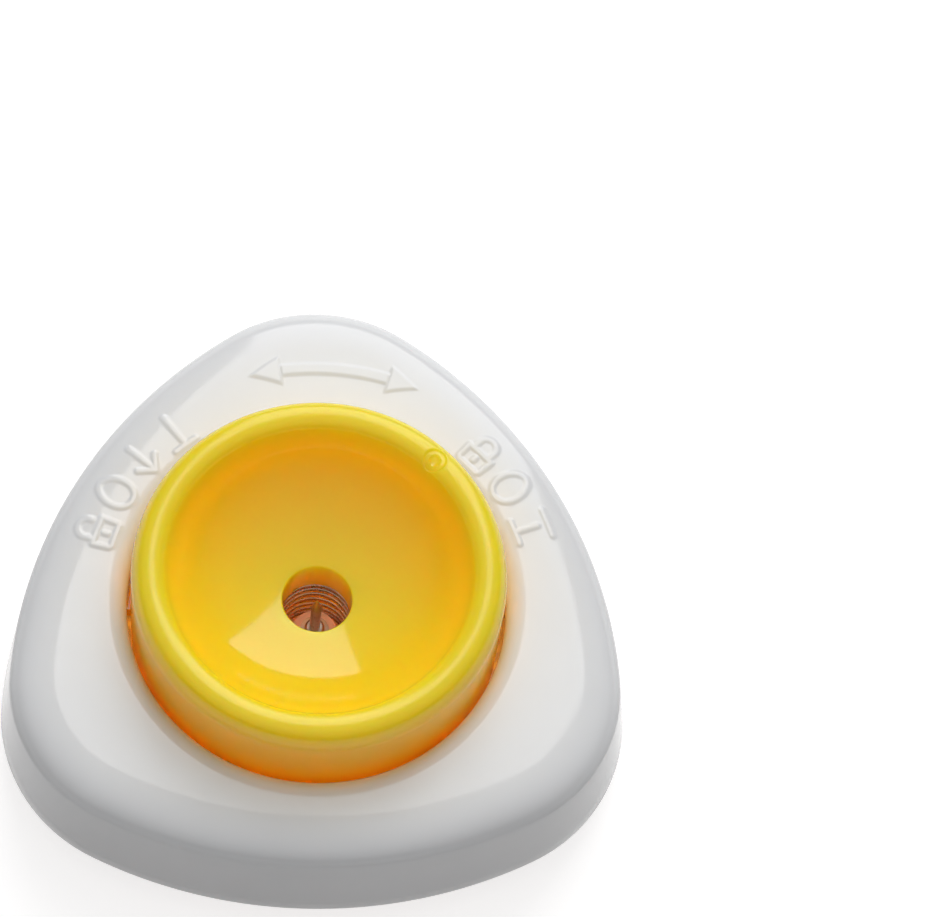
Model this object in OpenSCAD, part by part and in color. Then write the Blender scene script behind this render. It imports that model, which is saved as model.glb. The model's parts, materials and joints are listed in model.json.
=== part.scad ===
// Egg piercer: a yellow sprung cup in a white three-cornered housing.
// Pushing the cup down lets the fixed pin reach up through the hole in the dish.
// Millimetres, +Z up. The origin is where the cup's axis meets the surface the piercer stands on,
// and one corner of the body points along +Y.

/* [Main sizes] */
// Width of the body across its two front corners
body_w = 72; // [70:0.5:80]
// Height of the whole piercer, with the cup up
overall_h = 26.8; // [26.5:0.1:30]

/* [Body outline] */
// Radius of the three rounded corners
corner_r = 19.5; // [17:0.5:22]
// Radius of the three bowed sides
side_r = 56.5; // [50:0.5:60]

/* [Housing] */
// Height of the seam between base plate and housing
seam_z = 4.5; // [4:0.1:6]
// Height of the flat top of the housing
top_z = 17.6; // [16.5:0.1:20]
// Thickness of the side walls
wall_t = 2; // [1.5:0.1:2.5]
// Thickness of the top
top_t = 2; // [1.5:0.1:2.5]
// How far the walls lean in between the seam and the shoulder
wall_lean = 1.2; // [0.4:0.1:2]
// Width of the soft shoulder between wall and top
shoulder_w = 5.4; // [4:0.1:6]
// Height of the soft shoulder
shoulder_h = 2.9; // [2:0.1:4]
// Radius of the rounded edge of the opening
lip_r = 2.4; // [1.8:0.1:2.6]
// Straight length of the sleeve that guides the cup, below the rounded edge
sleeve_len = 3.4; // [2.5:0.1:4]
// Thickness of the sleeve's wall
sleeve_t = 2; // [1.6:0.1:2.4]

/* [Base plate] */
// Thickness of the floor
floor_t = 2.2; // [1.6:0.1:2.8]
// How far the foot of the plate is drawn in from the housing's edge
foot_inset = 2.4; // [1.5:0.1:3]
// Step between the housing's edge and the plate at the seam
seam_step = 0.4; // [0.2:0.1:0.8]
// Radius of the edge that meets the table
foot_round = 0.6; // [0.3:0.1:1]
// Height of the locating rim above the seam
rim_h = 2; // [1:0.1:3]
// Thickness of the locating rim
rim_t = 1.2; // [0.8:0.1:1.6]
// Height of the spring's lower seat above the table
seat_z = 2.8; // [2.4:0.1:3.2]
// Radius of that seat
seat_r = 5.6; // [5.2:0.1:6.5]
// Height of the round guide that stands inside the spring, above its seat
guide_h = 1.4; // [0.8:0.1:1.8]
// Diameter of the bosses that the screws go through
screw_boss_d = 8.6; // [7.6:0.1:9]

/* [Cup] */
// Outer diameter of the cup
cup_d = 42.5; // [40:0.1:43]
// Width of the rounded outer edge of the rim
rim_round_w = 2.15; // [1.6:0.05:2.6]
// Height of the rounded outer edge of the rim
rim_round_h = 3; // [2:0.1:4]
// Radius of the rounded inner edge of the rim
rim_in_r = 2; // [1.2:0.1:2.4]
// Slope of the dish where it meets that inner edge, in degrees
dish_slope = 68; // [62:1:74]
// Depth of the dish, from the rim to the edge of its hole
dish_depth = 9.4; // [8.5:0.1:10]
// Thickness of the dish
dish_t = 2; // [1.5:0.1:2.2]
// Thickness of the skirt
skirt_t = 1.8; // [1.4:0.1:2.2]
// Diameter of the hole that the pin comes through
pin_hole_d = 8; // [6:0.1:8.4]
// Wall of the short tube round that hole, whose lower end is the spring's upper seat
tube_t = 1.25; // [1.2:0.05:1.5]
// Length of the tube, measured down from the edge of the hole to that seat
tube_len = 5.4; // [4.8:0.1:5.6]
// Height of the rim that keeps the spring in the middle of its upper seat
seat_rim_h = 0.6; // [0.4:0.1:0.9]
// Thickness of that rim
seat_rim_t = 0.35; // [0.3:0.05:0.4]

/* [Motion] */
// How far the cup can be pushed down
press_travel = 5; // [3:0.1:5.5]
// Angle the cup turns from its locked to its piercing position
turn_angle = 90; // [60:1:92]
// Angle from +X of the middle of the first lug, with the cup locked
lug_angle = 46; // [30:1:60]
// Angle that each lug of the cup spans
lug_span = 24; // [16:1:25]
// Height of each lug
lug_h = 2; // [1.4:0.1:2.2]
// How far the lugs stand above the lower edge of the skirt
lug_lift = 0.4; // [0.3:0.1:0.6]
// How far each lug reaches out from the skirt
lug_reach = 2.2; // [1.6:0.1:2.4]

/* [Pin] */
// Diameter of the pin
pin_d = 1.2; // [1:0.05:1.3]
// Length of the ground point
point_len = 2.2; // [1.5:0.1:4]
// How far the point lies below the edge of the hole when the cup is up
point_hide = 0.5; // [0.4:0.1:1.5]
// Diameter of the collar that holds the pin
collar_d = 2.3; // [2.1:0.1:2.6]
// Height of the top of the collar above the table
collar_z = 9; // [8.6:0.1:10]
// Diameter of the collar's flange
flange_d = 3.4; // [3:0.1:3.8]
// Thickness of the collar's flange
flange_t = 0.6; // [0.4:0.1:0.8]
// Size of the bevel on top of the collar
collar_bevel = 0.25; // [0.1:0.05:0.3]
// Height of the plastic boss that the collar stands in
boss_z = 7.5; // [7:0.1:8]
// Diameter of that boss
boss_d = 5.2; // [4.4:0.1:5.6]

/* [Spring] */
// Diameter of the spring's wire
wire_d = 0.55; // [0.45:0.05:0.6]
// Diameter of the spring, measured to the middle of its wire
spring_d = 8.6; // [8.5:0.1:8.8]
// Number of turns
turns = 6.5; // [5:0.5:6.5]

/* [Screws] */
// Diameter of the screws
screw_d = 2.6; // [2.2:0.1:3]
// Length of the screws under the head
screw_len = 9; // [6:0.5:10]
// Diameter of the screw heads
head_d = 5; // [4.6:0.1:5.4]
// Height of the screw heads
head_h = 1.7; // [1.4:0.1:2]
// Bevel round the screw heads
head_bevel = 0.6; // [0.3:0.1:0.8]
// Width of the cross recess in the screw heads
recess_w = 0.8; // [0.6:0.1:1]
// Length of each arm of the cross, from tip to tip
recess_len = 3.1; // [2.6:0.1:3.4]
// Depth of the cross recess
recess_h = 1; // [0.7:0.1:1.2]
// Length of the screws' tapered tips
tip_len = 2; // [1.5:0.1:2.5]
// Distance of each screw from the tip of its corner
screw_edge = 8.5; // [8:0.1:9.5]
// Diameter of the posts that take the screws
post_d = 6.6; // [5.6:0.1:7]

/* [Clearances] */
// Gap all round between the cup and its opening
cup_gap = 0.45; // [0.35:0.05:0.7]
// Small gap between pieces that rest on or slide past each other
fit_gap = 0.15; // [0.1:0.05:0.2]
// Radial clearance of the pin in its collar, the collar in its boss and the screws in their posts
press_gap = 0.02; // [0.01:0.005:0.03]
// Angle left free beside each lug at the ends of its turn
turn_play = 0.5; // [0.3:0.1:1]

/* [Hidden] */
$fn = 96;
// Steps along each corner and each side of the outline
corner_steps = 19;
side_steps = 14;
// Steps round the shoulder, and round the edges of rim and lip
shoulder_steps = 10;
edge_steps = 10;
// Steps across the dish
dish_steps = 20;
// Angles of a whole turn and of a quarter of one
full_turn = 360;
quarter_turn = 90;
// Extra length that lets a cut run clear of the face it starts from
over = 1;

// The outline: three corner arcs and three side arcs, each tangent to the next
corner_count = 3;
corner_pitch = full_turn / corner_count;
half_chord = body_w / 2 - corner_r;
corner_dist = half_chord / cos(30);
side_depth = sqrt(pow(side_r - corner_r, 2) - pow(half_chord, 2));
side_half_angle = atan2(half_chord, side_depth);
side_centre = corner_dist / 2 - side_depth;
first_corner = quarter_turn;

// Radii about the cup's axis
cup_r = cup_d / 2;
opening_r = cup_r + cup_gap;
lug_r = cup_r + lug_reach;
skirt_in_r = cup_r - skirt_t;
crest_r = cup_r - rim_round_w;
hole_r = pin_hole_d / 2;
tube_r = hole_r + tube_t;
spring_in_r = (spring_d - wire_d) / 2;
screw_r = corner_dist + corner_r - screw_edge;

// Heights with the cup up. The shoulder starts where its ellipse is as steep as the leaning wall
lean_slope = wall_lean / (top_z - shoulder_h - seam_z);
shoulder_start = atan(lean_slope * shoulder_h / shoulder_w);
shoulder_z = top_z - shoulder_h * (1 - sin(shoulder_start));
sleeve_z = top_z - lip_r - sleeve_len;
rim_z = overall_h;
hole_z = rim_z - dish_depth;
tube_z = hole_z - tube_len;
lug_top = sleeve_z - fit_gap;
skirt_z = lug_top - lug_h - lug_lift;
stop_z = skirt_z - press_travel - fit_gap;
point_z = hole_z - point_hide;
pin_foot_z = floor_t + fit_gap;
head_seat_z = head_h + 2 * fit_gap;
post_z = head_seat_z + floor_t - fit_gap;

// The dish is half an ellipsoid about the cup's axis. Its two half axes follow from where it starts,
// at the edge of the hole, and from where and how steeply it meets the rounded inner edge of the rim
dish_end_r = crest_r - rim_in_r * sin(dish_slope);
dish_end_z = rim_z - rim_in_r * (1 - cos(dish_slope));
dish_rise = dish_end_z - hole_z;
dish_k = dish_rise * dish_end_r / tan(dish_slope);
dish_x = pow(dish_k, 2) / (pow(dish_end_r, 2) - pow(hole_r, 2) - 2 * dish_k);
dish_a = sqrt(pow(dish_end_r, 2) + dish_x);
dish_b = tan(dish_slope) * dish_a * sqrt(dish_x) / dish_end_r;
dish_z = dish_end_z + dish_b * sqrt(dish_x) / dish_a;

// The spring: its wire's sides and rings, how much closer it is wound at its ends, and its centre line
wire_sides = 6;
rings_a_turn = 24;
end_winding = 0.2;
spring_z = seat_z + fit_gap + wire_d / 2;
spring_len = tube_z - seat_z - 2 * fit_gap - wire_d;

// Lugs and their stops. Each stop fills the angle that the lugs leave free
lug_start = lug_angle - lug_span / 2;
stop_span = corner_pitch - turn_angle - lug_span - 2 * turn_play;
stop_start = lug_start - turn_play - stop_span;

// Points on an arc, from angle a0 to angle a1
function arc(centre, r, a0, a1, steps) = [
    for (i = [0:steps]) centre + r * [cos(a0 + (a1 - a0) * i / steps), sin(a0 + (a1 - a0) * i / steps)]
];

// All but the last point of a list, so that tangent arcs share one point
function open_end(points) = [for (i = [0:len(points) - 2]) points[i]];

function flatten(lists) = [for (list = lists) each list];

// The body's outline, drawn in by inset all round
function outline(inset) = flatten([
    for (i = [0:corner_count - 1])
        let (side = first_corner + corner_pitch / 2 + corner_pitch * i, corner = side + corner_pitch / 2)
        flatten([
            open_end(arc(
                side_centre * [cos(side), sin(side)], side_r - inset,
                side - side_half_angle, side + side_half_angle, side_steps
            )),
            open_end(arc(
                corner_dist * [cos(corner), sin(corner)], corner_r - inset,
                side + side_half_angle, side + corner_pitch - side_half_angle, corner_steps
            ))
        ])
]);

// Part of an ellipse as [inset, z] steps: it carries on the lean of the wall and meets the top level
function shoulder(inset, z, width, rise) =
    let (height = rise / (1 - sin(shoulder_start)))
    [
        for (i = [0:shoulder_steps])
            let (a = shoulder_start + (quarter_turn - shoulder_start) * i / shoulder_steps)
            [
                inset + width * (cos(shoulder_start) - cos(a)),
                z + height * (sin(a) - sin(shoulder_start))
            ]
    ];

// Closed skin through outlines given as [inset, z], with a flat cap on the first and on the last
module skin(rings) {
    loops = [for (ring = rings) [for (p = outline(ring[0])) [p[0], p[1], ring[1]]]];
    n = len(loops[0]);
    last = (len(rings) - 1) * n;
    bands = [
        for (k = [0:len(rings) - 2], j = [0:n - 1])
            let (a = k * n + j, b = k * n + (j + 1) % n)
            each [[a, a + n, b + n], [a, b + n, b]]
    ];
    caps = [[for (j = [0:n - 1]) j], [for (j = [n - 1:-1:0]) last + j]];
    polyhedron(points = flatten(loops), faces = concat(bands, caps), convexity = 6);
}

// Ring of rectangular section over part of a turn
module arc_block(r0, r1, z0, z1, start, span) {
    rotate([0, 0, start])
        rotate_extrude(angle = span)
            translate([r0, z0])
                square([r1 - r0, z1 - z0]);
}

// Its children at each corner's screw
module at_screws() {
    for (i = [0:corner_count - 1])
        rotate([0, 0, first_corner + corner_pitch * i])
            translate([screw_r, 0, 0])
                children();
}

// Its children once for each lug of the cup
module at_lugs() {
    for (i = [0:corner_count - 1])
        rotate([0, 0, corner_pitch * i])
            children();
}

// White shell: walls, soft shoulder and flat top in one skin, inside and out
module housing_shell() {
    inner_lean = wall_t + wall_lean;
    inner_shoulder_z = shoulder_z - top_t / 2;
    inner_rise = top_z - top_t - inner_shoulder_z;
    inner = shoulder(inner_lean, inner_shoulder_z, shoulder_w - top_t / 2, inner_rise);
    outer = shoulder(wall_lean, shoulder_z, shoulder_w, top_z - shoulder_z);
    skin(concat(
        [for (i = [len(inner) - 1:-1:0]) inner[i]],
        [[wall_t, seam_z], [0, seam_z]],
        outer
    ));
}

// Rounded edge of the opening, with the sleeve that guides the cup
module lip_and_sleeve() {
    lip_end = opening_r + lip_r;
    overlap = top_t / 3;
    rotate_extrude()
        polygon(concat(
            [[opening_r, sleeve_z]],
            arc([lip_end, top_z - lip_r], lip_r, 180, 90, edge_steps),
            [
                [lip_end + overlap, top_z],
                [lip_end + overlap, top_z - top_t],
                [opening_r + sleeve_t, top_z - top_t],
                [opening_r + sleeve_t, sleeve_z]
            ]
        ));
}

module housing() {
    color("whitesmoke")
        difference() {
            union() {
                difference() {
                    housing_shell();
                    translate([0, 0, sleeve_z])
                        cylinder(r = opening_r + lip_r, h = top_z - sleeve_z + over);
                }
                lip_and_sleeve();
                at_lugs()
                    arc_block(
                        opening_r + sleeve_t / 4, lug_r + sleeve_t, post_z + fit_gap, top_z - top_t * 3 / 4,
                        stop_start, stop_span
                    );
                at_screws()
                    translate([0, 0, post_z])
                        cylinder(d = post_d, h = top_z - top_t / 2 - post_z);
            }
            at_screws()
                translate([0, 0, post_z - over])
                    cylinder(r = screw_d / 2 + press_gap, h = screw_len + over);
        }
}

// Shallow white tray that closes the housing from below and carries pin and spring
module base_tray() {
    rim_inset = wall_t + fit_gap;
    foot = arc([foot_inset + foot_round, foot_round], foot_round, 270, 180, edge_steps / 2);
    skin(concat(
        foot,
        [
            [seam_step, seam_z],
            [rim_inset, seam_z],
            [rim_inset, seam_z + rim_h],
            [rim_inset + rim_t, seam_z + rim_h],
            [foot_inset + rim_t, floor_t]
        ]
    ));
}

module base_plate() {
    color("whitesmoke")
        difference() {
            union() {
                base_tray();
                arc_block(skirt_in_r, cup_r, floor_t / 2, stop_z, 0, full_turn);
                translate([0, 0, floor_t / 2])
                    cylinder(r = seat_r, h = seat_z - floor_t / 2);
                cylinder(r = spring_in_r - 2 * fit_gap, h = seat_z + guide_h);
                cylinder(d = boss_d, h = boss_z);
                at_screws()
                    translate([0, 0, floor_t / 2])
                        cylinder(d = screw_boss_d, h = post_z - floor_t / 2);
            }
            translate([0, 0, pin_foot_z])
                cylinder(r = collar_d / 2 + press_gap, h = boss_z);
            at_screws() {
                translate([0, 0, -over])
                    cylinder(r = head_d / 2 + 2 * fit_gap, h = head_seat_z + over);
                cylinder(r = screw_d / 2 + fit_gap, h = post_z + over);
            }
        }
}

// Points up an ellipse about the cup's axis, from radius r0 to radius r1
function bowl(a, b, r0, r1, steps) = [
    for (i = [0:steps])
        let (t = asin(r0 / a) + (asin(r1 / a) - asin(r0 / a)) * i / steps)
        [a * sin(t), dish_z - b * cos(t)]
];

// Skirt, rim, dish and tube as one turned piece, hollow from below
module cup_body() {
    ceiling_z = rim_z - rim_round_h;
    under_a = dish_a + dish_t;
    under_b = dish_b + dish_t;
    under_r = under_a * sqrt(1 - pow((dish_z - ceiling_z) / under_b, 2));
    rotate_extrude()
        polygon(concat(
            [
                [tube_r, tube_z - seat_rim_h],
                [tube_r - seat_rim_t, tube_z - seat_rim_h],
                [tube_r - seat_rim_t, tube_z],
                [hole_r, tube_z]
            ],
            bowl(dish_a, dish_b, hole_r, dish_end_r, dish_steps),
            [
                for (i = [1:edge_steps])
                    let (t = dish_slope * (1 - i / edge_steps))
                    [crest_r - rim_in_r * sin(t), rim_z - rim_in_r * (1 - cos(t))]
            ],
            [
                for (i = [1:edge_steps])
                    let (t = quarter_turn * i / edge_steps)
                    [crest_r + rim_round_w * sin(t), ceiling_z + rim_round_h * cos(t)]
            ],
            [[cup_r, skirt_z], [skirt_in_r, skirt_z], [skirt_in_r, ceiling_z]],
            bowl(under_a, under_b, under_r, tube_r, dish_steps)
        ));
}

module cup() {
    color("gold") {
        cup_body();
        at_lugs()
            arc_block(cup_r - skirt_t / 2, lug_r, lug_top - lug_h, lug_top, lug_start, lug_span);
    }
}

// Middle of the spring's wire after t turns, closer wound towards both ends
function spring_rise(u) = u - end_winding * sin(full_turn * u) / (2 * PI);
function wire_centre(t) = [
    spring_d / 2 * cos(full_turn * t),
    spring_d / 2 * sin(full_turn * t),
    spring_z + spring_len * spring_rise(t / turns)
];

// Corners of the wire's section after t turns
function wire_ring(t) = [
    for (i = [0:wire_sides - 1])
        let (a = full_turn * i / wire_sides, out = [cos(full_turn * t), sin(full_turn * t), 0])
        wire_centre(t) + wire_d / 2 * (cos(a) * out + sin(a) * [0, 0, 1])
];

// Least gap between one turn and the next, measured on the wire's centre points
wire_steps = [for (k = [0:turns * rings_a_turn]) k / rings_a_turn];
spring_gap = min([
    for (i = [0:len(wire_steps) - 1], j = [i + rings_a_turn / 2:1:len(wire_steps) - 1])
        norm(wire_centre(wire_steps[i]) - wire_centre(wire_steps[j])) - wire_d
]);
echo(spring_gap = spring_gap);

module spring() {
    rings = [for (t = wire_steps) wire_ring(t)];
    n = wire_sides;
    last = (len(rings) - 1) * n;
    bands = [
        for (k = [0:len(rings) - 2], j = [0:n - 1])
            let (a = k * n + j, b = k * n + (j + 1) % n)
            each [[a, b + n, a + n], [a, b, b + n]]
    ];
    caps = [
        for (j = [1:n - 2])
            each [[0, j + 1, j], [last, last + j, last + j + 1]]
    ];
    color("silver")
        polyhedron(points = flatten(rings), faces = concat(bands, caps), convexity = 20);
}

// Steel pin, ground to a point
module piercing_pin() {
    color("dimgray")
        rotate_extrude()
            polygon([
                [0, pin_foot_z],
                [pin_d / 2, pin_foot_z],
                [pin_d / 2, point_z - point_len],
                [pin_d / 12, point_z - pin_d / 6],
                [0, point_z]
            ]);
}

// Turned collar that stands in the boss and grips the pin
module pin_collar() {
    color("darkgray")
        rotate_extrude()
            polygon([
                [pin_d / 2 + press_gap, pin_foot_z],
                [collar_d / 2, pin_foot_z],
                [collar_d / 2, boss_z],
                [flange_d / 2, boss_z],
                [flange_d / 2, boss_z + flange_t],
                [collar_d / 2, boss_z + flange_t],
                [collar_d / 2, collar_z - collar_bevel],
                [collar_d / 2 - collar_bevel, collar_z],
                [pin_d / 2 + press_gap, collar_z]
            ]);
}

// Pan-head screw with a cross recess, driven up from below
module base_screw() {
    head_z = head_seat_z - head_h;
    tip_z = head_seat_z + screw_len;
    difference() {
        rotate_extrude()
            polygon([
                [0, head_z],
                [head_d / 2 - head_bevel, head_z],
                [head_d / 2, head_z + head_bevel],
                [head_d / 2, head_seat_z],
                [screw_d / 2, head_seat_z],
                [screw_d / 2, tip_z - tip_len],
                [screw_d / 6, tip_z],
                [0, tip_z]
            ]);
        for (a = [0, quarter_turn])
            rotate([0, 0, a])
                translate([-recess_len / 2, -recess_w / 2, head_z - over])
                    cube([recess_len, recess_w, recess_h + over]);
    }
}

module base_screws() {
    color("silver")
        at_screws()
            base_screw();
}

housing();
base_plate();
cup();
spring();
piercing_pin();
pin_collar();
base_screws();
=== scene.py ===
"""Looks of an egg piercer: a sprung yellow cup in a white housing with three rounded corners.

The cup turns between its two marked positions and presses down over a fixed steel pin.
Sizes are held in millimetres, as in the part's source, and become metres where a mesh is made.
"""

import json
import logging
import math
from dataclasses import dataclass
from enum import Enum

import bmesh
import bpy
import numpy as np
from mathutils import Matrix, Vector

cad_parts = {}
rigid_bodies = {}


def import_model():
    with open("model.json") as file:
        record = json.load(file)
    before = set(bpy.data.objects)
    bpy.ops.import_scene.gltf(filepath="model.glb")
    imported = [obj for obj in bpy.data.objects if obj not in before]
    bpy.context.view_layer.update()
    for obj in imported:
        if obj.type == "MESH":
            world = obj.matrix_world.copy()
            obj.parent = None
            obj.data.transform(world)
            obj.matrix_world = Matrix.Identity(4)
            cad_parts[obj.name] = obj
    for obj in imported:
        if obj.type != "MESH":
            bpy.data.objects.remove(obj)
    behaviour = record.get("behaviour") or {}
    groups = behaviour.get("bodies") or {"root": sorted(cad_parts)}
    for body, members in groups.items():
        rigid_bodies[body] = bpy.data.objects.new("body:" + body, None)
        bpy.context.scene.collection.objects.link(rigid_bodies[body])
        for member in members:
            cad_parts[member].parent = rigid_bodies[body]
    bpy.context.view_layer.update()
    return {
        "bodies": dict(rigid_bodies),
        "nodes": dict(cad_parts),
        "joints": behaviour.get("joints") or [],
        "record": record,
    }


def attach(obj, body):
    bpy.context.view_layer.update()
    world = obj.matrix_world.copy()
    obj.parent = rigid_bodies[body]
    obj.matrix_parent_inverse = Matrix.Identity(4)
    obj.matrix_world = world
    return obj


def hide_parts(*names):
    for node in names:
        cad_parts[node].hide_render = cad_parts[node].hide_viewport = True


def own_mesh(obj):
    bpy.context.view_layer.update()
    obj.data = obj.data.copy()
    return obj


MM = 0.001
IMAGE_WIDTH = 926
SENSOR_WIDTH = 36.0
CLIP_RANGE = (0.01, 10.0)
CORNERS = 3
PITCH = 360.0 / CORNERS
CUT_PAST = 0.5
NOISE_MIDDLE = (0.3, 0.7)
NOISE_ROUGHNESS = 0.55
WHITE_LIGHT = (1.0, 1.0, 1.0, 1.0)

log = logging.getLogger("egg_piercer")

Piece = bpy.types.Object
Socket = bpy.types.NodeSocket
Pair = tuple[float, float]
Triple = tuple[float, float, float]
Colour = Triple
Profile = list[Pair]


class Body(Enum):
    """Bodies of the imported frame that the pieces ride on."""

    BASE = "base"
    COIL = "spring_coil"
    CUP = "cup"


class Slot(Enum):
    """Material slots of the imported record."""

    WHITE = "white_plastic"
    YELLOW = "yellow_plastic"
    SPRING = "spring_steel"
    PIN = "pin_steel"
    COLLAR = "collar_steel"
    SCREW = "screw_steel"


class Join(Enum):
    """Ways to combine one closed mesh with another."""

    ADD = "UNION"
    CUT = "DIFFERENCE"


class Aim(Enum):
    """Ways that a lamp in the cup points, as its tilt from pointing down in degrees."""

    DOWN = 0.0
    OUT = 90.0
    UP = 180.0


class Sign(Enum):
    """Small pictures moulded into the top."""

    OPEN_PADLOCK = "open padlock"
    CLOSED_PADLOCK = "closed padlock"
    EGG = "egg"
    PRESS = "arrow pointing down"
    NEEDLE = "bare needle"
    COVERED_NEEDLE = "needle under a bar"


SignRow = tuple[tuple[Sign, float], ...]


# Mesh tools


def arc(centre: Pair, radii: Pair, start: float, end: float, steps: int) -> Profile:
    """Points on part of an ellipse.

    Args:
        centre: Middle of the ellipse.
        radii: Its two half axes.
        start: First angle in degrees.
        end: Last angle in degrees.
        steps: Number of steps between the two.

    Returns:
        The points, both ends included.
    """
    angles = np.radians(np.linspace(start, end, steps + 1))
    x, y = centre
    return [(x + radii[0] * math.cos(a), y + radii[1] * math.sin(a)) for a in angles]


def line(start: Pair, end: Pair, steps: int) -> Profile:
    """Points on a straight line.

    Args:
        start: First point.
        end: Last point.
        steps: Number of steps between the two.

    Returns:
        The points, both ends included.
    """
    shares = np.linspace(0.0, 1.0, steps + 1)
    (x0, y0), (x1, y1) = start, end
    return [(x0 + (x1 - x0) * s, y0 + (y1 - y0) * s) for s in shares]


def curve(points: Profile, steps: int) -> Profile:
    """Points on a cubic curve.

    Args:
        points: Its start, two control points and its end.
        steps: Number of steps from start to end.

    Returns:
        The points, both ends included.
    """
    share = np.linspace(0.0, 1.0, steps + 1)
    rest = 1 - share
    weights = np.stack([rest**3, 3 * share * rest**2, 3 * share**2 * rest, share**3], axis=-1)
    return [(float(r), float(z)) for r, z in weights @ np.array(points)]


def turned(profile: Profile, angles: np.ndarray) -> np.ndarray:
    """Turns a profile round the axis.

    Args:
        profile: Radius and height of each row.
        angles: Angles of the columns in radians.

    Returns:
        Points shaped (rows, columns, 3).
    """
    table = np.array(profile)
    radius = table[:, :1]
    height = np.broadcast_to(table[:, 1:], (len(table), len(angles)))
    return np.stack([radius * np.cos(angles), radius * np.sin(angles), height], axis=-1)


def whole_turn(columns: int) -> np.ndarray:
    """Angles in radians of evenly spaced columns."""
    return np.linspace(0.0, 2 * math.pi, columns, endpoint=False)


def make_piece(name: str, rows: np.ndarray, ring: bool) -> Piece:
    """Joins rows of points into one closed mesh.

    Args:
        name: Name of the piece.
        rows: Points in millimetres, shaped (rows, columns, 3). The columns run round.
        ring: Whether the last row joins the first. Otherwise both ends are capped.

    Returns:
        The new object, linked into the scene.
    """
    count, columns, _ = rows.shape
    index = np.arange(count * columns).reshape(count, columns)
    beside = np.roll(index, -1, axis=1)
    bands = count if ring else count - 1
    quads = np.stack(
        [index, beside, np.roll(beside, -1, axis=0), np.roll(index, -1, axis=0)], axis=-1
    )[:bands].reshape(-1, 4)
    faces = quads.tolist()
    if not ring:
        faces += [index[0][::-1].tolist(), index[-1].tolist()]
    mesh = bpy.data.meshes.new(name)
    mesh.from_pydata((rows.reshape(-1, 3) * MM).tolist(), [], faces)
    work = bmesh.new()
    work.from_mesh(mesh)
    bmesh.ops.recalc_face_normals(work, faces=work.faces)
    work.to_mesh(mesh)
    work.free()
    piece = bpy.data.objects.new(name, mesh)
    bpy.context.scene.collection.objects.link(piece)
    return piece


def arc_block(radii: Pair, heights: Pair, start: float, span: float) -> Piece:
    """Makes a block that follows a circle about the axis.

    Args:
        radii: Inner and outer radius.
        heights: Lower and upper height.
        start: First angle in degrees.
        span: Angle that the block spans in degrees.

    Returns:
        The block, as a tool for combine().
    """
    angles = np.radians(np.linspace(start, start + span, max(3, int(span))))
    (inner, outer), (low, high) = radii, heights
    corners = [(inner, low), (outer, low), (outer, high), (inner, high)]
    return make_piece("tool", turned(corners, angles).transpose(1, 0, 2), ring=False)


def combine(piece: Piece, tool: Piece, how: Join) -> None:
    """Adds a closed tool to a piece or cuts it away, and removes the tool.

    Args:
        piece: The piece that is changed.
        tool: The closed mesh that changes it.
        how: Whether the tool is added or cut away.
    """
    modifier = piece.modifiers.new("combine", "BOOLEAN")
    modifier.solver = "EXACT"
    modifier.operation = how.value
    modifier.object = tool
    graph = bpy.context.evaluated_depsgraph_get()
    made = bpy.data.meshes.new_from_object(piece.evaluated_get(graph))
    piece.modifiers.clear()
    old = piece.data
    piece.data = made
    bpy.data.meshes.remove(old)
    bpy.data.objects.remove(tool)


def shade(piece: Piece, sharp_angle: float) -> None:
    """Shades a piece smoothly, apart from edges sharper than an angle in degrees."""
    piece.data.shade_smooth()
    piece.data.set_sharp_from_angle(angle=math.radians(sharp_angle))


def smooth_step(low: float, high: float, value: np.ndarray) -> np.ndarray:
    """Rises smoothly from 0 at low to 1 at high."""
    share = np.clip((value - low) / (high - low), 0.0, 1.0)
    return share * share * (3 - 2 * share)


# Finishes


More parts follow.
